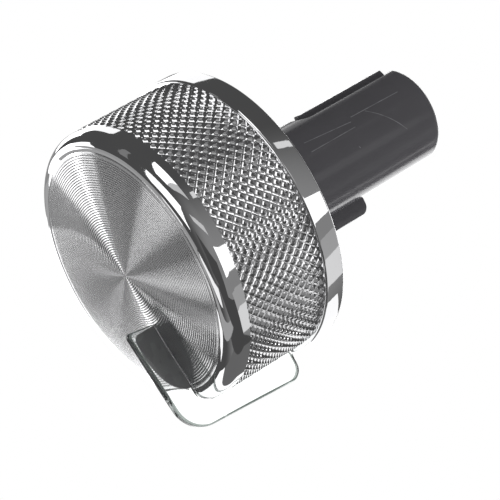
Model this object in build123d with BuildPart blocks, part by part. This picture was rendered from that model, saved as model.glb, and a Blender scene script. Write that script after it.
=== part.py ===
"""Steam knob: a chromed, diamond-knurled head with a turned face disc, a clear pointer
that hooks over its edge, and a black keyed stem that pushes on to a valve spindle.

Millimetres. The axis is Y: the stem ends at the origin and the face looks along -Y.
"""

import os
from math import cos, pi, radians, sin, sqrt

from build123d import *

# Head: a knurled band between a rounded bezel in front and a plain collar behind
knurl_diameter = 45.0
knurl_width = 14.4
knurl_pitch = 1.8
knurl_depth = 0.55
bezel_inset = 0.1
bezel_depth = 3.6
bezel_round = 2.3
bezel_land = 0.25
collar_lip = 0.7
collar_width = 3.6
collar_edge = 0.35
shell_wall = 2.3
front_wall = 2.0

# Face disc, turned with a low dome and glued into the bezel
disc_edge = 1.2
disc_rise = 1.3
disc_break = 0.15
disc_clearance = 0.08

# Pointer: a clear blade in a plane through the axis
pointer_angle = -47.0
pointer_thickness = 1.5
pointer_start = 7.6
pointer_lean = 0.6
pointer_rise = 4.65
pointer_fall = 1.75
pointer_overhang = 4.6
pointer_flare = 1.5
pointer_front_round = 5.2
pointer_rear_round = 2.0
pointer_inner_round = 0.6
pointer_edge = 0.25
pointer_step = 0.1
pointer_gap = 0.12
tongue_inset = 1.0
tongue_end = 1.4
tongue_clearance = 0.05

# Stem: one black moulding with a flange that presses into the collar
stem_diameter = 16.0
stem_reach = 36.1
stem_end_round = 0.9
stem_root_round = 0.6
stem_wall = 3.0
flange_thickness = 2.2
flange_recess = 0.6
flange_shoulder = 1.0
flange_clearance = 0.05
flat_depth = 0.67
flat_length = 18.2
flat_runout = 5.5
rib_thickness = 1.5
rib_height = 0.85
rib_tail = 1.0
rib_end_round = 0.7
lug_thickness = 2.0
lug_height = 2.4
lug_length = 20.5
lug_end_round = 1.3

# Spindle socket in the end of the stem: a round entry, then a smaller seat with one flat for the tip
spindle_diameter = 8.0
entry_depth = 12.0
tip_diameter = 6.0
tip_flat_depth = 1.0
tip_depth = 9.0
spindle_clearance = 0.05
socket_web = 2.5

# Spring clip that takes up the play beside the spindle's tip
clip_thickness = 0.4
clip_width = 4.0
clip_bow = 0.6
clip_foot = 1.2
clip_ramp = 1.4
clip_side_gap = 0.15
clip_end_gap = 0.4

# How far a cut runs past the face it opens
overrun = 1.0

# Radii and places along the axis that follow from the sizes above
knurl_radius = knurl_diameter / 2
valley_radius = knurl_radius - knurl_depth
bezel_radius = knurl_radius - bezel_inset
collar_radius = knurl_radius + collar_lip
recess_radius = bezel_radius - bezel_round - bezel_land
disc_radius = recess_radius - disc_clearance
cavity_radius = valley_radius - shell_wall
seat_radius = cavity_radius + flange_shoulder
flange_radius = seat_radius - flange_clearance
stem_radius = stem_diameter / 2
socket_radius = spindle_diameter / 2 + spindle_clearance
tip_radius = tip_diameter / 2 + spindle_clearance

collar_rear = -stem_reach
knurl_rear = collar_rear - collar_width
knurl_front = knurl_rear - knurl_width
face_rim = knurl_front - bezel_depth
face_centre = face_rim - disc_rise
recess_floor = face_rim + disc_edge
cavity_front = recess_floor + front_wall
flange_rear = collar_rear - flange_recess
flange_front = flange_rear - flange_thickness
dome_radius = (disc_radius**2 + disc_rise**2) / (2 * disc_rise)

# Plane through the axis that holds the pointer, the lug and the key rib: x outwards, y along the axis
turn = radians(pointer_angle)
key_plane = Plane(origin=(0, 0, 0), x_dir=(cos(turn), 0, sin(turn)), z_dir=(-sin(turn), 0, cos(turn)))


def dome_level(radius):
    """Place along the axis of the disc's domed face at a radius."""
    return face_centre + dome_radius - sqrt(dome_radius**2 - radius**2)


def knurl_band():
    """The knurled band as a closed solid: staggered four-sided pyramids around a cylinder."""
    starts = round(pi * knurl_diameter / knurl_pitch)
    rows = round(knurl_width / knurl_pitch)
    row_pitch = knurl_width / rows

    def point(step, row, radius):
        angle = 2 * pi * step / starts
        return Vector(radius * cos(angle), knurl_rear - row * row_pitch, radius * sin(angle))

    faces = []
    for half_row in range(2 * rows + 1):
        row = half_row / 2
        for start in range(starts):
            step = start + row % 1
            peak = point(step, row, knurl_radius)
            left = point(step - 0.5, row, valley_radius)
            right = point(step + 0.5, row, valley_radius)
            for tip_row in (row - 0.5, row + 0.5):
                if 0 <= tip_row <= rows:
                    tip = point(step, tip_row, valley_radius)
                    faces.append(Face(Wire.make_polygon([left, tip, peak])))
                    faces.append(Face(Wire.make_polygon([right, tip, peak])))
    for row in (0, rows):
        edge = []
        for start in range(starts):
            edge.append(point(start, row, knurl_radius))
            edge.append(point(start + 0.5, row, valley_radius))
        faces.append(Face(Wire.make_polygon(edge)))
    return Solid(Shell(faces))


# Head: one chromed moulding, closed in front behind the disc and open at the back
with BuildPart() as knob_shell:
    add(knurl_band())
    with BuildSketch(Plane.XY):
        with BuildLine():
            Polyline(
                (recess_radius + bezel_land, face_rim),
                (0, face_rim),
                (0, knurl_front),
                (bezel_radius, knurl_front),
                (bezel_radius, face_rim + bezel_round),
            )
            RadiusArc(
                (bezel_radius, face_rim + bezel_round),
                (recess_radius + bezel_land, face_rim),
                bezel_round,
            )
        make_face()
    revolve(axis=Axis.Y)
    with BuildSketch(Plane.XY) as collar_section:
        with Locations((0, collar_rear)):
            Rectangle(collar_radius, collar_width, align=(Align.MIN, Align.MAX))
        fillet(collar_section.vertices().group_by(Axis.X)[-1], collar_edge)
    revolve(axis=Axis.Y)
    with BuildSketch(Plane.XY):
        with Locations((0, face_rim - overrun)):
            Rectangle(recess_radius, disc_edge + overrun, align=(Align.MIN, Align.MIN))
        with Locations((0, cavity_front)):
            Rectangle(cavity_radius, collar_rear - cavity_front + overrun, align=(Align.MIN, Align.MIN))
        with Locations((0, flange_front)):
            Rectangle(seat_radius, collar_rear - flange_front + overrun, align=(Align.MIN, Align.MIN))
    revolve(axis=Axis.Y, mode=Mode.SUBTRACT)
knob_shell.part.label = "knob_shell"

# Face disc, with a radial slot for the pointer's tongue
tongue_length = disc_radius - tongue_end - pointer_start - tongue_inset
with BuildPart() as face_disc:
    with BuildSketch(Plane.XY):
        with BuildLine():
            Polyline(
                (0, face_centre),
                (0, recess_floor),
                (disc_radius, recess_floor),
                (disc_radius, face_rim + disc_break),
                (disc_radius - disc_break, dome_level(disc_radius - disc_break)),
            )
            ThreePointArc(
                (disc_radius - disc_break, dome_level(disc_radius - disc_break)),
                (disc_radius / 2, dome_level(disc_radius / 2)),
                (0, face_centre),
            )
        make_face()
    revolve(axis=Axis.Y)
    with BuildSketch(key_plane):
        with Locations((pointer_start + tongue_inset - tongue_clearance, face_centre - overrun)):
            Rectangle(
                tongue_length + 2 * tongue_clearance,
                recess_floor - face_centre + 2 * overrun,
                align=(Align.MIN, Align.MIN),
            )
    extrude(amount=pointer_thickness / 2 + tongue_clearance, both=True, mode=Mode.SUBTRACT)
face_disc.part.label = "face_disc"

# Pointer: two limbs of one blade, cut to clear the face, the bezel and the knurl, and a tongue
pointer_front = face_centre - pointer_rise
pointer_reach = knurl_radius + pointer_overhang


def blade(thickness, keep):
    """The pointer's whole outline at one thickness, kept on one side of the knurl's front edge."""
    with BuildPart() as slab:
        with BuildSketch(key_plane):
            with BuildLine():
                FilletPolyline(
                    (pointer_start + pointer_lean, recess_floor),
                    (pointer_start, pointer_front),
                    (pointer_reach - pointer_flare, pointer_front + pointer_fall),
                    (pointer_reach, knurl_rear - pointer_gap),
                    (cavity_radius, knurl_rear - pointer_gap),
                    radius=(pointer_inner_round, pointer_front_round, pointer_rear_round),
                )
                Polyline(
                    (cavity_radius, knurl_rear - pointer_gap),
                    (cavity_radius, recess_floor),
                    (pointer_start + pointer_lean, recess_floor),
                )
            make_face()
        extrude(amount=thickness / 2, both=True)
        fillet(slab.faces().filter_by(Axis((0, 0, 0), key_plane.z_dir)).edges(), pointer_edge)
        split(bisect_by=Plane(origin=(0, knurl_front, 0), z_dir=(0, 1, 0)), keep=keep)
    return slab.part


front_limb = blade(pointer_thickness, Keep.BOTTOM)
rear_limb = blade(pointer_thickness - 2 * pointer_step, Keep.TOP)
with BuildPart() as pointer:
    add(front_limb)
    add(rear_limb)
    with BuildSketch(Plane.XY):
        with BuildLine():
            Polyline(
                (0, face_centre - pointer_gap),
                (0, knurl_rear),
                (knurl_radius + pointer_gap, knurl_rear),
                (knurl_radius + pointer_gap, knurl_front),
                (bezel_radius + pointer_gap, face_rim + bezel_round),
            )
            RadiusArc(
                (bezel_radius + pointer_gap, face_rim + bezel_round),
                (recess_radius + bezel_land, face_rim - pointer_gap),
                bezel_round + pointer_gap,
            )
            ThreePointArc(
                (recess_radius + bezel_land, face_rim - pointer_gap),
                (disc_radius / 2, dome_level(disc_radius / 2) - pointer_gap),
                (0, face_centre - pointer_gap),
            )
        make_face()
    revolve(axis=Axis.Y, mode=Mode.SUBTRACT)
    with BuildSketch(key_plane):
        with Locations((pointer_start + tongue_inset, recess_floor)):
            Rectangle(
                tongue_length,
                recess_floor - face_centre + pointer_rise / 2,
                align=(Align.MIN, Align.MAX),
            )
    extrude(amount=pointer_thickness / 2, both=True)
pointer.part.label = "pointer"

# Stem: flange, round stem, key flat with its rib, and the stop lug on the pointer's side
flat_level = stem_radius - flat_depth
clip_floor = tip_diameter / 2 + clip_bow + clip_thickness
seat_end = -entry_depth - tip_depth
with BuildPart() as stem:
    with BuildSketch(Plane.XY) as stem_section:
        with Locations((0, flange_rear)):
            Rectangle(flange_radius, flange_thickness, align=(Align.MIN, Align.MAX))
            Rectangle(stem_radius, -flange_rear, align=(Align.MIN, Align.MIN))
        fillet(stem_section.vertices().group_by(Axis.Y)[-1].sort_by(Axis.X)[-1], stem_end_round)
        root = stem_section.vertices().group_by(Axis.Y)[1].sort_by(Axis.X)[0]
        fillet(root, stem_root_round)
    revolve(axis=Axis.Y)
    with BuildSketch(key_plane):
        with BuildLine():
            Polyline(
                (-flat_level - flat_runout, -flat_length - flat_runout),
                (-flat_level - flat_runout, overrun),
                (-flat_level, overrun),
                (-flat_level, -flat_length),
            )
            RadiusArc(
                (-flat_level, -flat_length),
                (-flat_level - flat_runout, -flat_length - flat_runout),
                flat_runout,
            )
        make_face()
    extrude(amount=stem_radius, both=True, mode=Mode.SUBTRACT)
    with BuildSketch(key_plane) as rib_section:
        with Locations((-flat_level + rib_height, -flat_length - rib_tail)):
            Rectangle(
                2 * rib_height,
                flat_length + rib_tail - stem_end_round,
                align=(Align.MAX, Align.MIN),
            )
        fillet(rib_section.vertices().group_by(Axis.Y)[-1].sort_by(Axis.X)[0], rib_end_round)
    extrude(amount=rib_thickness / 2, both=True)
    with BuildSketch(key_plane) as lug_section:
        with Locations((stem_radius + lug_height, flange_rear)):
            Rectangle(2 * lug_height, flange_recess + lug_length, align=(Align.MAX, Align.MIN))
        fillet(lug_section.vertices().group_by(Axis.Y)[-1].sort_by(Axis.X)[-1], lug_end_round)
    extrude(amount=lug_thickness / 2, both=True)
    with BuildSketch(Plane.XY):
        with Locations((0, -entry_depth)):
            Rectangle(socket_radius, entry_depth + overrun, align=(Align.MIN, Align.MIN))
        with Locations((0, flange_front - overrun)):
            Rectangle(
                stem_radius - stem_wall,
                seat_end - socket_web - flange_front + overrun,
                align=(Align.MIN, Align.MIN),
            )
    revolve(axis=Axis.Y, mode=Mode.SUBTRACT)
    with BuildSketch(Plane(origin=(0, -entry_depth, 0), x_dir=key_plane.x_dir, z_dir=(0, -1, 0))):
        Circle(tip_radius)
        with Locations((tip_flat_depth - tip_radius, 0)):
            Rectangle(
                tip_diameter,
                tip_diameter + overrun,
                align=(Align.MAX, Align.CENTER),
                mode=Mode.SUBTRACT,
            )
        Rectangle(clip_floor, clip_width + 2 * clip_side_gap, align=(Align.MIN, Align.CENTER))
    extrude(amount=tip_depth, mode=Mode.SUBTRACT)
stem.part.label = "stem"

# Spring clip: a bowed strip lying in the pocket beside the seat
clip_start = seat_end + clip_end_gap
clip_end = -entry_depth - clip_end_gap
with BuildPart() as spindle_clip:
    with BuildSketch(key_plane):
        with BuildLine():
            Polyline(
                (clip_floor, clip_start),
                (clip_floor, clip_start + clip_foot),
                (clip_floor - clip_bow, clip_start + clip_foot + clip_ramp),
                (clip_floor - clip_bow, clip_end - clip_foot - clip_ramp),
                (clip_floor, clip_end - clip_foot),
                (clip_floor, clip_end),
                (clip_floor - clip_thickness, clip_end),
                (clip_floor - clip_thickness, clip_end - clip_foot),
                (clip_floor - clip_thickness - clip_bow, clip_end - clip_foot - clip_ramp),
                (clip_floor - clip_thickness - clip_bow, clip_start + clip_foot + clip_ramp),
                (clip_floor - clip_thickness, clip_start + clip_foot),
                (clip_floor - clip_thickness, clip_start),
                close=True,
            )
        make_face()
    extrude(amount=clip_width / 2, both=True)
spindle_clip.part.label = "spindle_clip"

os.makedirs("parts", exist_ok=True)
for piece in (knob_shell, face_disc, pointer, stem, spindle_clip):
    export_step(piece.part, f"parts/{piece.part.label}.step")
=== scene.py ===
"""Looks of the steam knob: smooth meshes, finishes, a pale floor, studio cards and the camera.

Metres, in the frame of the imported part: the axis is Y, the stem ends at the origin, the face looks to -Y.
"""

from math import acos, asin, atan2, cos, hypot, pi, radians, sin, sqrt

import bmesh
import bpy
import numpy as np
from mathutils import Matrix, Vector


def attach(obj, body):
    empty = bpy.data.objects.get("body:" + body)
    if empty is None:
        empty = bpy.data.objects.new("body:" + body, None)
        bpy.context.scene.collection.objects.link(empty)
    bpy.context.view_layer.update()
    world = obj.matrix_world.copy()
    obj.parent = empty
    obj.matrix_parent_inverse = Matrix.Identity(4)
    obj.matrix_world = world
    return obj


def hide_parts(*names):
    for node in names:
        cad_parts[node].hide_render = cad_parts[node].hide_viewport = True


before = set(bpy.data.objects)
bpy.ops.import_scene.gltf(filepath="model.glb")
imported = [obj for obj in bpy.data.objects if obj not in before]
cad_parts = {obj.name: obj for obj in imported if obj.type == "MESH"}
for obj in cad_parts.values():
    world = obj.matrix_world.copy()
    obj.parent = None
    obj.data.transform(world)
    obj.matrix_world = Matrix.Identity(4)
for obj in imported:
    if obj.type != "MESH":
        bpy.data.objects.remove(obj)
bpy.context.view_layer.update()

MM = 0.001

# Head, as in the part's source
KNURL_RADIUS = 22.5 * MM
KNURL_DEPTH = 0.55 * MM
KNURL_STARTS = 79
KNURL_ROWS = 8
BEZEL_RADIUS = 22.4 * MM
BEZEL_ROUND = 2.3 * MM
BEZEL_LAND = 0.25 * MM
COLLAR_RADIUS = 23.2 * MM
COLLAR_EDGE = 0.35 * MM
SHELL_WALL = 2.3 * MM
FLANGE_SHOULDER = 1.0 * MM
COLLAR_REAR = -36.1 * MM
KNURL_REAR = -39.7 * MM
KNURL_FRONT = -54.1 * MM
FACE_RIM = -57.7 * MM
FACE_CENTRE = -59.0 * MM
RECESS_FLOOR = -56.5 * MM
CAVITY_FRONT = -54.5 * MM
FLANGE_REAR = -36.7 * MM
FLANGE_FRONT = -38.9 * MM
FLANGE_RADIUS = 20.6 * MM
VALLEY_RADIUS = KNURL_RADIUS - KNURL_DEPTH
RECESS_RADIUS = BEZEL_RADIUS - BEZEL_ROUND - BEZEL_LAND
CAVITY_RADIUS = VALLEY_RADIUS - SHELL_WALL
SEAT_RADIUS = CAVITY_RADIUS + FLANGE_SHOULDER

# Form of the knurl as it looks: filleted valleys, blunt tips, on a core a little below the valleys
KNURL_RELIEF = 0.42 * MM
VALLEY_SHARE = 0.34
TIP_SHARE = 0.07
CORE_SINK = 0.3 * MM
CORE_RADIUS = VALLEY_RADIUS - CORE_SINK

# Face disc, with a close gap and turning marks
DISC_GAP = 0.02 * MM
DISC_RADIUS = RECESS_RADIUS - DISC_GAP
DISC_EDGE = 0.02 * MM
DISC_RISE = FACE_RIM - FACE_CENTRE
DOME_RADIUS = (DISC_RADIUS**2 + DISC_RISE**2) / (2 * DISC_RISE)
GROOVE_PITCH = 0.378 * MM
GROOVE_DEPTH = 0.046 * MM

# Pointer, as in the part's source but with a larger round on its edges
POINTER_ANGLE = radians(-47.0)
POINTER_THICKNESS = 1.5 * MM
POINTER_STEP = 0.1 * MM
POINTER_START = 7.6 * MM
POINTER_LEAN = 0.6 * MM
POINTER_RISE = 4.65 * MM
POINTER_FRONT = FACE_CENTRE - POINTER_RISE
POINTER_FALL = 1.75 * MM
POINTER_OVERHANG = 4.6 * MM
POINTER_REACH = KNURL_RADIUS + POINTER_OVERHANG
POINTER_FLARE = 1.5 * MM
POINTER_FRONT_ROUND = 5.2 * MM
POINTER_REAR_ROUND = 2.0 * MM
POINTER_INNER_ROUND = 0.6 * MM
POINTER_EDGE = 0.4 * MM
EDGE_SPAN_SHARE = 0.3
POINTER_GAP = 0.12 * MM

# Painted shade on the pointer's outer edge, its flat and its step: how dark their tint is, as shares
EDGE_SHADE_MARK = "edge"
RIM_SHADE_SHARE = 1.0
FLAT_SHADE_SHARE = 0.75
STEP_SHADE_SHARE = 0.5

# Index fin inside the pointer
FIN_START = 8.5 * MM
FIN_CREST = 10.5 * MM
FIN_END = 19.4 * MM
FIN_HEIGHT = 4.0 * MM
FIN_CORNER = 0.9 * MM
FIN_THICKNESS = 0.25 * MM

# Stem, as in the part's source but with a larger round at its end
STEM_RADIUS = 8.0 * MM
STEM_END_ROUND = 1.4 * MM
STEM_ROOT_ROUND = 0.6 * MM
STEM_CORE = 5.0 * MM
CORE_END = -23.5 * MM
FLAT_LEVEL = 7.33 * MM
FLAT_LENGTH = 18.2 * MM
FLAT_RUNOUT = 5.5 * MM
RIB_HALF = 0.75 * MM
RIB_HEIGHT = 0.85 * MM
RIB_TAIL = 1.0 * MM
LUG_HALF = 1.0 * MM
LUG_HEIGHT = 2.4 * MM
LUG_LENGTH = 20.5 * MM
LUG_END_ROUND = 1.3 * MM
MOULD_ROUND = 0.3 * MM
BEND_SHARE = 0.45
ROOT_CLEARANCE = 1.5 * STEM_ROOT_ROUND
STATION_GAP = 0.01 * MM
SOCKET_RADIUS = 4.05 * MM
ENTRY_DEPTH = 12.0 * MM
TIP_RADIUS = 3.05 * MM
TIP_FLAT = 2.05 * MM
SEAT_END = -21.0 * MM
CLIP_FLOOR = 4.0 * MM
CLIP_POCKET_HALF = 2.15 * MM
TINY = 1e-9

# Fineness of the meshes
HEAD_COLUMNS = 480
DISC_COLUMNS = 256
BEZEL_STEPS = 16
COLLAR_EDGE_STEPS = 6
GROOVE_SHARES = (0, 0.1, 0.3, 0.5, 0.7, 0.9)
BLADE_SECTIONS = 160
BLADE_FOOT_STEPS = 12
BLADE_HOOK_STEPS = 10
BLADE_CORNER_STEPS = 12
BLADE_EDGE_STEPS = 4
FIN_BASE_STEPS = 12
FIN_BACK_STEPS = 15
FIN_CORNER_STEPS = 6
STEM_STEPS = 60
STEM_FLAT_STEPS = 8
STEM_BEND_STEPS = 4
STEP_DIGITS = 5
RADIUS_DIGITS = 8

# Sockets of the node that mixes two colours
MIX_FACTOR, MIX_FIRST, MIX_SECOND, MIX_RESULT = 0, 6, 7, 2

# Scratches on the stem, start and end in millimetres
SCRATCH_WIDTH = 0.09 * MM
STEM_SCRATCHES = (
    ((1.7, -24.3, 7.8), (2.5, -15.2, 7.6)),
    ((3.5, -24.4, 7.2), (3.5, -15.2, 7.2)),
    ((1.8, -14.5, 7.8), (2.0, -4.6, 7.75)),
    ((2.1, -11.7, 7.72), (3.5, -10.2, 7.19)),
    ((3.5, -10.2, 7.19), (4.8, -8.9, 6.4)),
    ((4.8, -8.9, 6.4), (5.85, -7.85, 5.46)),
    ((5.85, -7.85, 5.46), (6.73, -6.9, 4.32)),
    ((5.9, -16.5, 5.4), (6.05, -16.4, 5.25)),
)

# Camera, found from the photo's ellipses
CAMERA_PLACE = Vector((219.1, -231.8, 246.8)) * MM
CAMERA_RIGHT = Vector((0.6701, 0.7422, 0.0))
CAMERA_UP = Vector((-0.4865, 0.4392, 0.7552))
CAMERA_LENS = 180.0
CAMERA_SENSOR = 36.0

# Stage
FLOOR_LEVEL = -23.6 * MM
FLOOR_SINK = 1 * MM
FLOOR_REACH = 3.0
CARD_DISTANCE = 0.6
HEAD_CENTRE = Vector((0, -45 * MM, 0))


def dome_level(radius):
    """Place along the axis of the disc's domed face at a radius."""
    return FACE_CENTRE + DOME_RADIUS - sqrt(DOME_RADIUS**2 - radius**2)


def arc(centre, radius, start, stop, steps):
    """Points of an arc in a plane, ends included; angles in degrees."""
    points = []
    for k in range(steps + 1):
        a = radians(start + (stop - start) * k / steps)
        points.append((centre[0] + radius * cos(a), centre[1] + radius * sin(a)))
    return points


def mesh_object(name, points, faces, sharp_angle=None):
    """A smooth-shaded mesh piece with outward faces; edges over the sharp angle stay sharp."""
    mesh = bpy.data.meshes.new(name)
    mesh.from_pydata([tuple(p) for p in points], [], faces)
    work = bmesh.new()
    work.from_mesh(mesh)
    bmesh.ops.recalc_face_normals(work, faces=work.faces)
    work.to_mesh(mesh)
    work.free()
    mesh.shade_smooth()
    if sharp_angle is not None:
        mesh.set_sharp_from_angle(angle=radians(sharp_angle))
    piece = bpy.data.objects.new(name, mesh)
    bpy.context.scene.collection.objects.link(piece)
    return piece


def loft(name, rings, sharp_angle=None):
    """Joins rings of equally many points; a ring of one point closes an end."""
    points, starts, faces = [], [], []
    for ring in rings:
        starts.append(len(points))
        points.extend(ring)
    for i in range(len(rings) - 1):
        a, b = starts[i], starts[i + 1]
        count = max(len(rings[i]), len(rings[i + 1]))
        for j in range(count):
            k = (j + 1) % count
            if len(rings[i]) == 1:
                faces.append((a, b + k, b + j))
            elif len(rings[i + 1]) == 1:
                faces.append((a + j, a + k, b))
            else:
                faces.append((a + j, a + k, b + k, b + j))
    return mesh_object(name, points, faces, sharp_angle)


def revolve(name, profile, columns, sharp_angle=None):
    """Turns a profile of (radius, place) points about the axis; it starts and ends on the axis."""
    rings = []
    for radius, place in profile:
        if radius == 0:
            rings.append([(0, place, 0)])
        else:
            turns = [2 * pi * k / columns for k in range(columns)]
            rings.append([(radius * cos(t), place, radius * sin(t)) for t in turns])
    return loft(name, rings, sharp_angle)


def dress(piece, material, slot, *nodes):
    """Gives a piece its material and its place on the knob, and hides the nodes that it stands for."""
    piece.data.materials.append(material)
    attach(piece, "root")
    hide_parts(*nodes)


# Materials


def new_material(name):
    """A material with its principled shader and its node tree."""
    material = bpy.data.materials.new(name)
    material.use_nodes = True
    return material, material.node_tree, material.node_tree.nodes["Principled BSDF"]


def noise(tree, scale, stretch=(1, 1, 1), detail=3.0):
    """Noise in the part's own coordinates; the scale counts features per metre."""
    place = tree.nodes.new("ShaderNodeTexCoord")
    mapping = tree.nodes.new("ShaderNodeMapping")
    mapping.inputs["Scale"].default_value = stretch
    texture = tree.nodes.new("ShaderNodeTexNoise")
    texture.inputs["Scale"].default_value = scale
    texture.inputs["Detail"].default_value = detail
    tree.links.new(place.outputs["Object"], mapping.inputs["Vector"])
    tree.links.new(mapping.outputs["Vector"], texture.inputs["Vector"])
    return texture.outputs["Fac"]


def spread(tree, source, low, high, start=0.3, stop=0.7):
    """A number that follows a texture between two ends."""
    ramp = tree.nodes.new("ShaderNodeMapRange")
    ramp.inputs["From Min"].default_value = start
    ramp.inputs["From Max"].default_value = stop
    ramp.inputs["To Min"].default_value = low
    ramp.inputs["To Max"].default_value = high
    tree.links.new(source, ramp.inputs["Value"])
    return ramp.outputs["Result"]


def tint(tree, source, low, high):
    """A colour that follows a texture between two colours."""
    mix = tree.nodes.new("ShaderNodeMix")
    mix.data_type = "RGBA"
    mix.inputs[MIX_FIRST].default_value = (*low, 1)
    mix.inputs[MIX_SECOND].default_value = (*high, 1)
    tree.links.new(source, mix.inputs[MIX_FACTOR])
    return mix.outputs[MIX_RESULT]


def relief(tree, shader, source, distance):
    """Fine unevenness of a surface from a texture."""
    bump = tree.nodes.new("ShaderNodeBump")
    bump.inputs["Strength"].default_value = 1.0
    bump.inputs["Distance"].default_value = distance
    tree.links.new(source, bump.inputs["Height"])
    tree.links.new(bump.outputs["Normal"], shader.inputs["Normal"])


def chrome_material():
    """Bright plate: slight waves along the axis and faint smudges."""
    material, tree, shader = new_material("chrome")
    smudges = noise(tree, 160)
    shader.inputs["Metallic"].default_value = 1.0
    tree.links.new(tint(tree, smudges, (0.76, 0.76, 0.77), (0.84, 0.84, 0.85)), shader.inputs["Base Color"])
    tree.links.new(spread(tree, smudges, 0.015, 0.06), shader.inputs["Roughness"])
    relief(tree, shader, noise(tree, 520, (1, 0.12, 1)), 0.008 * MM)
    return material


def aluminium_material():
    """Turned face: the shine fans out across the grooves, with faint dull patches."""
    material, tree, shader = new_material("turned_aluminium")
    patches = noise(tree, 130, detail=5.0)
    shader.inputs["Metallic"].default_value = 1.0
    shader.inputs["Anisotropic"].default_value = 1.0
    shader.inputs["Anisotropic Rotation"].default_value = 0.25
    tree.links.new(tint(tree, patches, (0.73, 0.73, 0.74), (0.83, 0.83, 0.84)), shader.inputs["Base Color"])
    tree.links.new(spread(tree, patches, 0.18, 0.22), shader.inputs["Roughness"])
    tangent = tree.nodes.new("ShaderNodeTangent")
    tangent.direction_type = "RADIAL"
    tangent.axis = "Y"
    tree.links.new(tangent.outputs["Tangent"], shader.inputs["Tangent"])
    return material


def acrylic_material():
    """Clear plastic: polished faces; the marked edge faces get a dark tint, painted shade for edges that
    look dark because light leaves them sideways.
    """
    material, tree, shader = new_material("clear_acrylic")
    shader.inputs["IOR"].default_value = 1.49
    shader.inputs["Transmission Weight"].default_value = 1.0
    edge = tree.nodes.new("ShaderNodeAttribute")
    edge.attribute_name = EDGE_SHADE_MARK
    # Painted shade: the marked edge faces are tinted dark grey-green
    colour = tint(tree, edge.outputs["Fac"], (0.97, 0.99, 0.98), (0.10, 0.12, 0.11))
    tree.links.new(colour, shader.inputs["Base Color"])
    tree.links.new(spread(tree, noise(tree, 300), 0.0, 0.04), shader.inputs["Roughness"])
    return material


def scratch(tree, start, end):
    """A mask that is 1 along a thin straight scratch between two points in millimetres."""
    a, b = Vector(start) * MM, Vector(end) * MM
    run = b - a

    def vector_math(operation, first, second):
        node = tree.nodes.new("ShaderNodeVectorMath")
        node.operation = operation
        tree.links.new(first, node.inputs[0])
        if isinstance(second, Vector):
            node.inputs[1].default_value = second
        else:
            tree.links.new(second, node.inputs[1])
        return node

    place = tree.nodes.new("ShaderNodeTexCoord").outputs["Object"]
    from_start = vector_math("SUBTRACT", place, a).outputs["Vector"]
    share = vector_math("DOT_PRODUCT", from_start, run / run.length_squared).outputs["Value"]
    clamp = tree.nodes.new("ShaderNodeClamp")
    tree.links.new(share, clamp.inputs["Value"])
    foot = tree.nodes.new("ShaderNodeVectorMath")
    foot.operation = "SCALE"
    foot.inputs[0].default_value = run
    tree.links.new(clamp.outputs["Result"], foot.inputs["Scale"])
    gap = vector_math("DISTANCE", from_start, foot.outputs["Vector"]).outputs["Value"]
    return spread(tree, gap, 1.0, 0.0, 0.4 * SCRATCH_WIDTH, SCRATCH_WIDTH)


def black_material():
    """Satin moulding: a fine grain, scuffed patches and a few thin scratches."""
    material, tree, shader = new_material("black_moulding")
    scuffs = noise(tree, 220, (1, 0.4, 1), 6.0)
    grain = noise(tree, 4000)
    broken = spread(tree, noise(tree, 900), 0.3, 1.0)
    marks = None
    for start, end in STEM_SCRATCHES:
        mark = scratch(tree, start, end)
        if marks is not None:
            larger = tree.nodes.new("ShaderNodeMath")
            larger.operation = "MAXIMUM"
            tree.links.new(marks, larger.inputs[0])
            tree.links.new(mark, larger.inputs[1])
            mark = larger.outputs["Value"]
        marks = mark
    worn = tree.nodes.new("ShaderNodeMath")
    worn.operation = "MULTIPLY"
    tree.links.new(marks, worn.inputs[0])
    tree.links.new(broken, worn.inputs[1])
    plain = tint(tree, scuffs, (0.125, 0.122, 0.132), (0.165, 0.162, 0.175))
    scratched = tree.nodes.new("ShaderNodeMix")
    scratched.data_type = "RGBA"
    scratched.inputs[MIX_SECOND].default_value = (0.38, 0.38, 0.4, 1)
    tree.links.new(worn.outputs["Value"], scratched.inputs[MIX_FACTOR])
    tree.links.new(plain, scratched.inputs[MIX_FIRST])
    tree.links.new(scratched.outputs[MIX_RESULT], shader.inputs["Base Color"])
    tree.links.new(spread(tree, scuffs, 0.13, 0.22), shader.inputs["Roughness"])
    shader.inputs["Specular IOR Level"].default_value = 0.14
    relief(tree, shader, grain, 0.002 * MM)
    return material


def index_material():
    """The dark index fin in the pointer: a smooth film with faint cloudiness."""
    material, tree, shader = new_material("index_fin")
    clouds = noise(tree, 250)
    tree.links.new(tint(tree, clouds, (0.3, 0.3, 0.31), (0.37, 0.37, 0.38)), shader.inputs["Base Color"])
    tree.links.new(spread(tree, clouds, 0.2, 0.35), shader.inputs["Roughness"])
    return material


def steel_material():
    """Rolled strip: fine lines along it."""
    material, tree, shader = new_material("spring_steel")
    lines = noise(tree, 1500, (1, 0.05, 1))
    shader.inputs["Metallic"].default_value = 1.0
    tree.links.new(tint(tree, lines, (0.44, 0.44, 0.45), (0.56, 0.56, 0.57)), shader.inputs["Base Color"])
    tree.links.new(spread(tree, lines, 0.24, 0.4), shader.inputs["Roughness"])
    relief(tree, shader, lines, 0.002 * MM)
    return material


# Head


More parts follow.
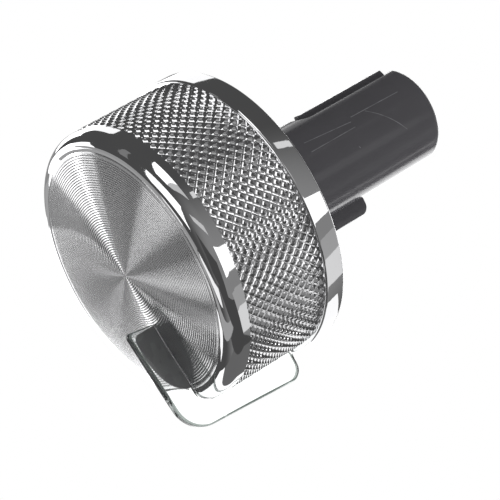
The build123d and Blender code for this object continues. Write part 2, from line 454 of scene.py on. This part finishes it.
def head_body():
    """Bezel, core and collar, with the recess in front and the hollow behind."""
    profile = [(0, RECESS_FLOOR), (RECESS_RADIUS, RECESS_FLOOR), (RECESS_RADIUS, FACE_RIM)]
    round_centre = (RECESS_RADIUS + BEZEL_LAND, FACE_RIM + BEZEL_ROUND)
    profile += arc(round_centre, BEZEL_ROUND, -90, 0, BEZEL_STEPS)
    profile += [(BEZEL_RADIUS, KNURL_FRONT), (CORE_RADIUS, KNURL_FRONT), (CORE_RADIUS, KNURL_REAR)]
    edge_radius = COLLAR_RADIUS - COLLAR_EDGE
    profile += arc((edge_radius, KNURL_REAR + COLLAR_EDGE), COLLAR_EDGE, -90, 0, COLLAR_EDGE_STEPS)
    profile += arc((edge_radius, COLLAR_REAR - COLLAR_EDGE), COLLAR_EDGE, 0, 90, COLLAR_EDGE_STEPS)
    profile += [
        (SEAT_RADIUS, COLLAR_REAR),
        (SEAT_RADIUS, FLANGE_FRONT),
        (CAVITY_RADIUS, FLANGE_FRONT),
        (CAVITY_RADIUS, CAVITY_FRONT),
        (0, CAVITY_FRONT),
    ]
    return revolve("knob_head", profile, HEAD_COLUMNS, sharp_angle=40)


def knurl_height(a, b):
    """Height share of a knurl pyramid at offsets from its tip: filleted valley, flat side, blunt tip."""
    far = max(abs(a), abs(b))
    reach = 0.5 - far
    rise = reach**2 / VALLEY_SHARE if reach < VALLEY_SHARE else 2 * reach - VALLEY_SHARE
    return rise / (1 - 2 * TIP_SHARE - VALLEY_SHARE)


def knurl_band():
    """The diamond knurl: pyramids in two crossing families of rows around the head."""
    edge_shares = (0.5, 0.5 - VALLEY_SHARE / 2, 0.5 - VALLEY_SHARE, TIP_SHARE)
    offset_shares = [-share for share in edge_shares] + list(reversed(edge_shares))
    last = len(offset_shares) - 1
    row_pitch = (KNURL_FRONT - KNURL_REAR) / KNURL_ROWS
    index, points, faces = {}, [], []

    def vertex(step, row, radius):
        start = round(step % KNURL_STARTS, STEP_DIGITS) % KNURL_STARTS
        key = (start, round(row, STEP_DIGITS), round(radius, RADIUS_DIGITS))
        if key not in index:
            index[key] = len(points)
            turn = 2 * pi * step / KNURL_STARTS
            points.append((radius * cos(turn), KNURL_REAR + row * row_pitch, radius * sin(turn)))
        return index[key]

    def top(centre_step, centre_row, i, j):
        a, b = offset_shares[i], offset_shares[j]
        radius = KNURL_RADIUS - KNURL_RELIEF * (1 - knurl_height(a, b))
        return vertex(centre_step + (a + b) / 2, centre_row + (a - b) / 2, radius)

    def cell(i, j):
        corners = [(i, j), (i + 1, j), (i + 1, j + 1), (i, j + 1)]
        if i == j:
            return [corners[:3], [corners[0], corners[2], corners[3]]]
        if i + j == last - 1:
            return [[corners[0], corners[1], corners[3]], corners[1:]]
        return [corners]

    for half_row in range(2 * KNURL_ROWS + 1):
        row = half_row / 2
        for start in range(KNURL_STARTS):
            step = start + row % 1
            for i in range(last):
                for j in range(last):
                    for corners in cell(i, j):
                        below = half_row == 0 and any(c[0] < c[1] for c in corners)
                        above = half_row == 2 * KNURL_ROWS and any(c[0] > c[1] for c in corners)
                        if not below and not above:
                            faces.append([top(step, row, *c) for c in corners])
    ends = {}
    for row in (0, KNURL_ROWS):
        rim = sorted((key[0], n) for key, n in list(index.items()) if key[1] == row)
        inner = [vertex(step, row, CORE_RADIUS) for step, _ in rim]
        ends[row] = inner
        for k in range(len(rim)):
            m = (k + 1) % len(rim)
            faces.append([rim[k][1], rim[m][1], inner[m], inner[k]])
    for k in range(len(ends[0])):
        m = (k + 1) % len(ends[0])
        faces.append([ends[0][k], ends[0][m], ends[KNURL_ROWS][m], ends[KNURL_ROWS][k]])
    return mesh_object("knurl_band", points, faces, sharp_angle=30)


# Face disc


def grooved_disc():
    """The domed disc with its turning marks cut as fine round-bottomed grooves."""
    profile = [(0, FACE_CENTRE)]
    grooves = int((DISC_RADIUS - 0.5 * GROOVE_PITCH) / GROOVE_PITCH)
    for k in range(grooves):
        for share in GROOVE_SHARES:
            radius = (k + share) * GROOVE_PITCH
            if radius > 0:
                cut = GROOVE_DEPTH * (1 - (2 * share - 1) ** 2)
                profile.append((radius, dome_level(radius) + cut))
    profile.append((DISC_RADIUS - DISC_EDGE, dome_level(DISC_RADIUS)))
    profile.append((DISC_RADIUS, dome_level(DISC_RADIUS) + DISC_EDGE))
    profile += [(DISC_RADIUS, RECESS_FLOOR), (0, RECESS_FLOOR)]
    return revolve("turned_disc", profile, DISC_COLUMNS, sharp_angle=40)


# Pointer


def key_point(x, place, side):
    """A point from the plane through the axis and the pointer: outwards, along the axis, sideways."""
    return (
        x * cos(POINTER_ANGLE) - side * sin(POINTER_ANGLE),
        place,
        x * sin(POINTER_ANGLE) + side * cos(POINTER_ANGLE),
    )


def rounded_path(points, radii, steps):
    """A path with its inner corners rounded to the given radii."""
    path = [points[0]]
    for before, corner, after, radius in zip(points, points[1:], points[2:], radii):
        p, c, n = np.array(before), np.array(corner), np.array(after)
        u, v = (p - c) / np.linalg.norm(p - c), (n - c) / np.linalg.norm(n - c)
        half = acos(np.clip(u @ v, -1, 1)) / 2
        middle = c + (u + v) / np.linalg.norm(u + v) * radius / sin(half)
        first, final = c + u * radius / np.tan(half), c + v * radius / np.tan(half)
        a0 = atan2(*(first - middle)[::-1])
        a1 = atan2(*(final - middle)[::-1])
        turn = (a1 - a0 + pi) % (2 * pi) - pi
        for k in range(steps + 1):
            a = a0 + turn * k / steps
            path.append(tuple(middle + radius * np.array((cos(a), sin(a)))))
    path.append(points[-1])
    return path


def along(path, count):
    """Points spaced evenly along a path."""
    path = np.array(path)
    lengths = np.concatenate([[0], np.cumsum(np.linalg.norm(np.diff(path, axis=0), axis=1))])
    at = np.linspace(0, lengths[-1], count)
    return np.stack([np.interp(at, lengths, path[:, k]) for k in (0, 1)], axis=1)


def pointer_blade():
    """The clear blade: a loft between the edge that follows the head and the free edge."""
    inner = [(POINTER_START + POINTER_LEAN, dome_level(POINTER_START) - POINTER_GAP)]
    for k in range(1, BLADE_FOOT_STEPS + 1):
        radius = POINTER_START + POINTER_LEAN
        radius += (RECESS_RADIUS + BEZEL_LAND - radius) * k / BLADE_FOOT_STEPS
        inner.append((radius, min(dome_level(min(radius, DISC_RADIUS)), FACE_RIM) - POINTER_GAP))
    round_centre = (RECESS_RADIUS + BEZEL_LAND, FACE_RIM + BEZEL_ROUND)
    inner += arc(round_centre, BEZEL_ROUND + POINTER_GAP, -90, 0, BLADE_HOOK_STEPS)
    inner.append((KNURL_RADIUS + POINTER_GAP, KNURL_FRONT))
    inner.append((KNURL_RADIUS + POINTER_GAP, KNURL_REAR - POINTER_GAP))
    outer = rounded_path(
        [
            (POINTER_START + POINTER_LEAN, dome_level(POINTER_START) - POINTER_GAP),
            (POINTER_START, POINTER_FRONT),
            (POINTER_REACH - POINTER_FLARE, POINTER_FRONT + POINTER_FALL),
            (POINTER_REACH, KNURL_REAR - POINTER_GAP),
            (KNURL_RADIUS + POINTER_GAP, KNURL_REAR - POINTER_GAP),
        ],
        (POINTER_INNER_ROUND, POINTER_FRONT_ROUND, POINTER_REAR_ROUND),
        BLADE_CORNER_STEPS,
    )
    rails = list(zip(along(inner, BLADE_SECTIONS), along(outer, BLADE_SECTIONS)))
    rings, halves = [], []
    for near, far in rails[1:-1]:
        half = POINTER_THICKNESS / 2
        if (near[1] + far[1]) / 2 > KNURL_FRONT:
            half -= POINTER_STEP
        halves.append(half)
        span = np.linalg.norm(far - near)
        edge = min(POINTER_EDGE, EDGE_SPAN_SHARE * span)
        way = (far - near) / span
        section = arc((span - edge, half - edge), edge, 0, 90, BLADE_EDGE_STEPS)
        section += arc((edge, half - edge), edge, 90, 180, BLADE_EDGE_STEPS)
        section += arc((edge, edge - half), edge, 180, 270, BLADE_EDGE_STEPS)
        section += arc((span - edge, edge - half), edge, 270, 360, BLADE_EDGE_STEPS)
        rings.append([key_point(*(near + way * s), side) for s, side in section])
    first = [key_point(*rails[0][0], 0)]
    final = [key_point(*rails[-1][0], 0)]
    piece = loft("pointer_blade", [first] + rings + [final], sharp_angle=50)
    # Painted shade: the rim, flat and step faces are marked for the dark tint of the acrylic material
    mark = piece.data.attributes.new(EDGE_SHADE_MARK, "FLOAT", "FACE")
    sides = len(rings[0])
    corner = BLADE_EDGE_STEPS + 1
    broad_faces = (corner - 1, 3 * corner - 1)
    rim_faces = (*range(BLADE_EDGE_STEPS), *range(3 * corner, sides - 1))
    flat_faces = (sides - 1,)
    for number in range(len(rings) - 1):
        shades = [(rim_faces, RIM_SHADE_SHARE), (flat_faces, FLAT_SHADE_SHARE)]
        if halves[number] != halves[number + 1]:
            shades.append((broad_faces, STEP_SHADE_SHARE))
        for group, shade in shades:
            for j in group:
                mark.data[sides * (number + 1) + j].value = shade
    return piece


def index_fin():
    """The dark fin inside the clear blade, with its arched back."""
    base = []
    for k in range(FIN_BASE_STEPS + 1):
        x = FIN_START + (FIN_END - FIN_START) * k / FIN_BASE_STEPS
        base.append((x, dome_level(x) - POINTER_GAP))
    crest = dome_level(FIN_CREST) - FIN_HEIGHT
    back = []
    for k in range(1, FIN_BACK_STEPS + 1):
        turn = radians(90 * k / FIN_BACK_STEPS)
        x = FIN_CREST + (FIN_END - FIN_CREST) * cos(turn)
        back.append((x, base[-1][1] + (crest - base[-1][1]) * sin(turn)))
    corner_centre = (FIN_START + FIN_CORNER, crest + FIN_CORNER)
    back += arc(corner_centre, FIN_CORNER, 270, 180, FIN_CORNER_STEPS)
    outline = base + back
    half = FIN_THICKNESS / 2
    count = len(outline)
    points = [key_point(*p, side) for side in (-half, half) for p in outline]
    faces = [list(range(count)), list(range(2 * count - 1, count - 1, -1))]
    for k in range(count):
        m = (k + 1) % count
        faces.append([k, m, count + m, count + k])
    return mesh_object("index_fin", points, faces, sharp_angle=40)


# Stem


def flat_level(place):
    """Level of the key flat along the stem; it runs out into the round in an arc."""
    past = -FLAT_LENGTH - place
    if past <= 0:
        return FLAT_LEVEL
    if past >= FLAT_RUNOUT:
        return STEM_RADIUS
    return min(STEM_RADIUS, FLAT_LEVEL + FLAT_RUNOUT - sqrt(FLAT_RUNOUT**2 - past**2))


def lug_rise(place):
    """Height of the stop lug along the stem, with its rounded end."""
    end = COLLAR_REAR + LUG_LENGTH
    past = place - (end - LUG_END_ROUND)
    if past <= 0:
        return LUG_HEIGHT
    if past >= LUG_END_ROUND:
        return 0.0
    return LUG_HEIGHT - LUG_END_ROUND + sqrt(LUG_END_ROUND**2 - past**2)


def stem_section(place, radius):
    """Outline across the stem: x towards the lug, from the lug's crest round to itself."""
    crest_shares, lug_wall_shares = (0, 0.35, 0.7), (0.35, 0.75)
    rib_wall_shares, rib_top_shares = (0.4, 0.8), (0.6, 0.3, 0)
    lug = lug_rise(place)
    level = min(flat_level(place), radius)
    rib_start, rib_end = -FLAT_LENGTH - RIB_TAIL, -STEM_END_ROUND
    rib = RIB_HEIGHT if rib_start <= place <= rib_end else 0.0
    half = []
    foot = sqrt(radius**2 - LUG_HALF**2)
    bend = min(MOULD_ROUND, BEND_SHARE * lug)
    crest = max(radius + lug, foot)
    for share in crest_shares:
        side = share * (LUG_HALF - bend)
        half.append((crest if lug > 0 else sqrt(radius**2 - side**2), side))
    for x, side in arc((crest - bend, LUG_HALF - bend), bend, 0, 90, STEM_BEND_STEPS):
        half.append((x, side) if lug > 0 else (foot, LUG_HALF))
    for share in lug_wall_shares:
        half.append((crest - bend + (foot - crest + bend) * share if lug > 0 else foot, LUG_HALF))
    flat_half = sqrt(max(radius**2 - level**2, 0))
    stop_side = max(flat_half, RIB_HALF)
    turn_start, turn_stop = asin(LUG_HALF / radius), pi - asin(stop_side / radius)
    for k in range(STEM_STEPS + 1):
        turn = turn_start + (turn_stop - turn_start) * k / STEM_STEPS
        half.append((radius * cos(turn), radius * sin(turn)))
    base = -min(level, sqrt(radius**2 - RIB_HALF**2))
    for k in range(1, STEM_FLAT_STEPS + 1):
        side = stop_side + (RIB_HALF - stop_side) * k / STEM_FLAT_STEPS
        half.append((-min(level, sqrt(radius**2 - side**2)), side))
    top = min(-level - rib, base)
    bend = min(MOULD_ROUND, BEND_SHARE * (base - top))
    for share in rib_wall_shares:
        half.append((base + (top + bend - base) * share, RIB_HALF))
    half += arc((top + bend, RIB_HALF - bend), bend, 90, 180, STEM_BEND_STEPS)
    for share in rib_top_shares:
        side = share * (RIB_HALF - bend)
        half.append((top if rib > 0 else -min(level, sqrt(radius**2 - side**2)), side))
    mirrored = [(x, -side) for x, side in half[-2:0:-1]]
    return half + mirrored


def seat_reach(turn):
    """Reach of the spindle tip's seat from the axis: round, with one flat and the clip's pocket."""
    reach = TIP_RADIUS
    if cos(turn) * TIP_RADIUS < -TIP_FLAT:
        reach = -TIP_FLAT / cos(turn)
    if cos(turn) > 0:
        pocket = min(CLIP_FLOOR / cos(turn), CLIP_POCKET_HALF / max(abs(sin(turn)), TINY))
        reach = max(reach, pocket)
    return reach


def stem_moulding():
    """Flange, stem, flat, rib, lug and socket in one closed mesh."""
    outline = stem_section(0, STEM_RADIUS - STEM_END_ROUND)
    turns = [atan2(side, x) for x, side in outline]

    def circle(radius, place):
        return [key_point(radius * cos(t), place, radius * sin(t)) for t in turns]

    rings = [
        [key_point(0, CORE_END, 0)],
        circle(STEM_CORE, CORE_END),
        circle(STEM_CORE, FLANGE_FRONT),
        circle(FLANGE_RADIUS, FLANGE_FRONT),
        circle(FLANGE_RADIUS, FLANGE_REAR),
    ]
    stations = []
    for a in range(0, 91, 30):
        place = FLANGE_REAR + STEM_ROOT_ROUND * (1 - cos(radians(a)))
        stations.append((place, STEM_RADIUS + STEM_ROOT_ROUND * (1 - sin(radians(a)))))
    lug_end = COLLAR_REAR + LUG_LENGTH
    places = [FLANGE_REAR + ROOT_CLEARANCE]
    places += [lug_end - LUG_END_ROUND + LUG_END_ROUND * sin(radians(a)) for a in range(0, 91, 10)]
    places += [lug_end + STATION_GAP]
    rib_start = -FLAT_LENGTH - RIB_TAIL
    places += [rib_start - STATION_GAP, rib_start]
    places += [-FLAT_LENGTH - FLAT_RUNOUT * sin(radians(a)) for a in range(0, 31, 3)]
    places += [-STEM_END_ROUND]
    stations += [(place, STEM_RADIUS) for place in sorted(set(places))]
    for a in range(10, 91, 10):
        inset = STEM_END_ROUND * (1 - cos(radians(a)))
        stations.append((-STEM_END_ROUND + STEM_END_ROUND * sin(radians(a)), STEM_RADIUS - inset))
    for place, radius in stations:
        rings.append([key_point(x, place, side) for x, side in stem_section(place, radius)])
    rings.append(circle(SOCKET_RADIUS, 0))
    rings.append(circle(SOCKET_RADIUS, -ENTRY_DEPTH))
    for place in (-ENTRY_DEPTH, SEAT_END):
        rings.append([key_point(seat_reach(t) * cos(t), place, seat_reach(t) * sin(t)) for t in turns])
    rings.append([key_point(0, SEAT_END, 0)])
    return loft("stem_moulding", rings, sharp_angle=35)


chrome = chrome_material()
dress(head_body(), chrome, "chrome_plate", "knob_shell")
dress(knurl_band(), chrome, "chrome_plate", "knob_shell")
dress(grooved_disc(), aluminium_material(), "turned_aluminium", "face_disc")
dress(pointer_blade(), acrylic_material(), "clear_acrylic", "pointer")
dress(index_fin(), index_material(), "black_moulding", "pointer")
dress(stem_moulding(), black_material(), "black_moulding", "stem")

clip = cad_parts["spindle_clip"]
clip.data.materials.clear()
clip.data.materials.append(steel_material())


# Stage: a pale floor, cards that the metal mirrors, and a dim room


def glow_material(name, level):
    """Even white light of one strength."""
    material = bpy.data.materials.new(name)
    material.use_nodes = True
    tree = material.node_tree
    tree.nodes.clear()
    glow = tree.nodes.new("ShaderNodeEmission")
    glow.inputs["Color"].default_value = (1, 1, 1, 1)
    glow.inputs["Strength"].default_value = level
    output = tree.nodes.new("ShaderNodeOutputMaterial")
    tree.links.new(glow.outputs["Emission"], output.inputs["Surface"])
    return material


def stage_sheet(name, corners, level):
    """A flat glowing sheet of the stage."""
    mesh = bpy.data.meshes.new(name)
    mesh.from_pydata([tuple(c) for c in corners], [], [tuple(range(len(corners)))])
    sheet = bpy.data.objects.new(name, mesh)
    bpy.context.scene.collection.objects.link(sheet)
    sheet.data.materials.append(glow_material(name, level))
    return sheet


def card(name, corners, level):
    """A card that only the part sees; each corner is (degrees to +X, degrees to +Y) from straight up."""
    places = []
    for x, y in corners:
        tilt, turn = radians(hypot(x, y)), atan2(y, x)
        way = Vector((sin(tilt) * cos(turn), sin(tilt) * sin(turn), cos(tilt)))
        places.append(HEAD_CENTRE + CARD_DISTANCE * way)
    sheet = stage_sheet(name, places, level)
    sheet.visible_camera = False


def floor_card(name, corners, level, height=0):
    """A card on the floor that only the part sees; corners and height in millimetres."""
    places = [(x * MM, y * MM, FLOOR_LEVEL + height * MM) for x, y in corners]
    sheet = stage_sheet(name, places, level)
    sheet.visible_camera = False


# The pale floor that the camera sees
corner_shares = ((-1, -1), (1, -1), (1, 1), (-1, 1))
floor_corners = [(x * FLOOR_REACH, y * FLOOR_REACH, FLOOR_LEVEL - FLOOR_SINK) for x, y in corner_shares]
floor = stage_sheet("floor", floor_corners, 1.0)
floor.visible_glossy = False
floor.visible_transmission = False
floor.visible_diffuse = False

# White paper under the knob, as the metal mirrors it
floor_card("paper_under_stem", [(14, -36), (13.5, 60), (-45, 60), (-45, -36)], 3.5)
floor_card("stem_line", [(23.5, -15), (26, -15), (26, 60), (23.5, 60)], 3.2)
floor_card("paper_collar", [(37.5, -36), (37.5, -20), (26, -24), (14, -27), (14, -36)], 1.2)
floor_card("paper_back_left", [(-90, -60), (-90, 27.5), (-1000, 765), (-1000, -60)], 2.2)
floor_card("paper_left_shade", [(-45, -60), (-45, -9), (-90, 27.5), (-90, -60)], 0.3)
floor_card("paper_back_dim", [(-45, -9), (-45, 1000), (-1000, 1000), (-1000, 765)], 0.45)
floor_card("paper_back_far", [(38, 60), (38, 1000), (-45, 1000), (-45, 60)], 1.0)
floor_card("paper_rim", [(2, -57.5), (2, -36), (-45, -36), (-45, -58.5)], 1.3)
floor_card("paper_right", [(20, -70), (20, -36), (2, -36), (2, -61.5), (11, -61.5), (13, -70)], 1.4)

# Strips in front of the face, darker step by step, each with its reach in millimetres and its level
foot_line = ((2, -61.5), (-20, -61.5), (-41, -66.5))
foot_strips = ((0.0, 2.6), (0.7, 1.2), (1.5, 0.65), (2.4, 0.42), (3.6, 0.35), (8.0, 0.32))
near_edge = [(2, -57.5), (-20, -58), (-41, -58.5)]
for strip, (reach, level) in enumerate(foot_strips):
    far_edge = [(x, y - reach) for x, y in foot_line]
    floor_card(f"paper_foot_{strip}", near_edge + far_edge[::-1], level)
    near_edge = far_edge
floor_card("paper_left_foot", [(-41, -58.5), (-41, -74.5), (-46, -78), (-56, -77), (-58, -60)], 0.42, 0.1)

# The table around the paper
floor_card("table_gap", [(-12, -79), (-12, -84), (-40, -84), (-34, -80)], 0.4)
floor_card("table_glint", [(8.5, -72.5), (5, -82.5), (-6, -79), (-2, -74)], 1.3)
patch_corners = [(-25.7, -113.5), (-27, -123), (-29, -139), (-49, -145), (-41, -126), (-37.5, -116.5)]
floor_card("table_patch", patch_corners, 1.2, 0.2)
floor_card("paper_shade", [(38, -70), (38, -36), (20, -36), (20, -70)], 0.15)
floor_card("table_front_near", [(60, -84), (-60, -84), (-60, -100), (60, -100)], 0.4)
floor_card("table_front_right", [(28, -114), (-14, -99), (-14, -122), (44, -165)], 1.1)
floor_card("table_front", [(-15, -100), (-90, -100), (-90, -160), (-15, -137)], 0.35)
floor_card("table_dark", [(38, -36.5), (38, -83), (61, -83), (110, -36.5)], 0.07)
floor_card("table_dark_front", [(61, -83), (61, -200), (300, -400), (300, -36.5), (110, -36.5)], 0.07)
floor_card("table_near", [(51, -36), (118, -36), (118, 300), (51, 300)], 0.8)
floor_card("table_far", [(118, -36), (1500, -36), (1500, 900), (118, 900)], 0.4)

# The sweep of light across the disc: a bright line between two softer sides
sweep_near = [(-92, -84), (-88, -80), (-83, -67), (-81, -48)]
line_near = [(-97, -37), (-96, -60), (-96, -75), (-96.5, -81)]
line_far = [(-102, -32), (-99, -64), (-98, -72), (-97.5, -80)]
sweep_far = [(-120, -3), (-113, -50), (-109, -63), (-102, -78)]
card("sweep_front", sweep_near + line_near, 1.5)
card("sweep_line", line_near[::-1] + line_far, 6.0)
card("sweep_side", line_far[::-1] + sweep_far, 2.0)
card("sweep_dim", [(-109, -63), (-113, -50), (-120, -3), (-127, 17), (-123, -36), (-110, -63)], 0.3)

# Windows, walls and ceiling of the room
card("left_wall", [(-58, 50), (-68, 28), (-84, 33), (-76, 58)], 1.2)
card("ceiling_bright", [(-21, 22), (3, 22), (-2, -27), (-14, -27)], 1.6)
card("ceiling_dim", [(3, 22), (16.5, 22), (4, -20), (-2, -27)], 0.6)
card("ceiling_back", [(11, 27), (16, 27), (17, 42), (12, 42)], 0.8)
card("front_window", [(-27, -50), (9, -50), (-3, -89), (-40, -82)], 1.6)
card("right_window", [(78, -7), (58, 55), (48, 48), (54, -5)], 1.6)
card("front_dark", [(60, -35), (84, -48), (60, -76), (25, -94), (18, -68), (43, -55)], 0.07)
card("right_strip", [(22, -35), (27, -37), (46, 4), (38, 6)], 0.65)
card("left_strip", [(-45, -25), (-39, -27), (-48, -62), (-56, -60)], 0.22)
card("left_sweep", [(-75, 58), (-93, 0), (-96, 0), (-82, 58)], 3.0)


def room():
    """A dim room, a little lighter on the right; seen by the camera it is as pale as the floor."""
    world = bpy.data.worlds.new("room")
    bpy.context.scene.world = world
    world.use_nodes = True
    tree = world.node_tree
    shade = tree.nodes["Background"]
    place = tree.nodes.new("ShaderNodeTexCoord")
    split = tree.nodes.new("ShaderNodeSeparateXYZ")
    ramp = tree.nodes.new("ShaderNodeMapRange")
    ramp.interpolation_type = "SMOOTHSTEP"
    for name, value in {"From Min": -0.1, "From Max": 0.8, "To Min": 0.075, "To Max": 0.26}.items():
        ramp.inputs[name].default_value = value
    pale = tree.nodes.new("ShaderNodeBackground")
    pale.inputs["Color"].default_value = (1, 1, 1, 1)
    path = tree.nodes.new("ShaderNodeLightPath")
    mix = tree.nodes.new("ShaderNodeMixShader")
    tree.links.new(place.outputs["Generated"], split.inputs["Vector"])
    tree.links.new(split.outputs["X"], ramp.inputs["Value"])
    tree.links.new(ramp.outputs["Result"], shade.inputs["Strength"])
    shade.inputs["Color"].default_value = (1, 1, 1, 1)
    tree.links.new(path.outputs["Is Camera Ray"], mix.inputs["Fac"])
    tree.links.new(shade.outputs["Background"], mix.inputs[1])
    tree.links.new(pale.outputs["Background"], mix.inputs[2])
    tree.links.new(mix.outputs["Shader"], tree.nodes["World Output"].inputs["Surface"])


room()

scene = bpy.context.scene
camera = bpy.data.objects.new("camera", bpy.data.cameras.new("camera"))
scene.collection.objects.link(camera)
back = CAMERA_RIGHT.cross(CAMERA_UP)
turn = Matrix((CAMERA_RIGHT, CAMERA_UP, back)).transposed()
camera.matrix_world = Matrix.Translation(CAMERA_PLACE) @ turn.to_4x4()
camera.data.lens = CAMERA_LENS
camera.data.sensor_width = CAMERA_SENSOR
camera.data.clip_start = 10 * MM
scene.camera = camera
scene.view_settings.view_transform = "Standard"
scene.cycles.max_bounces = 24
scene.cycles.transmission_bounces = 16
scene.cycles.glossy_bounces = 12
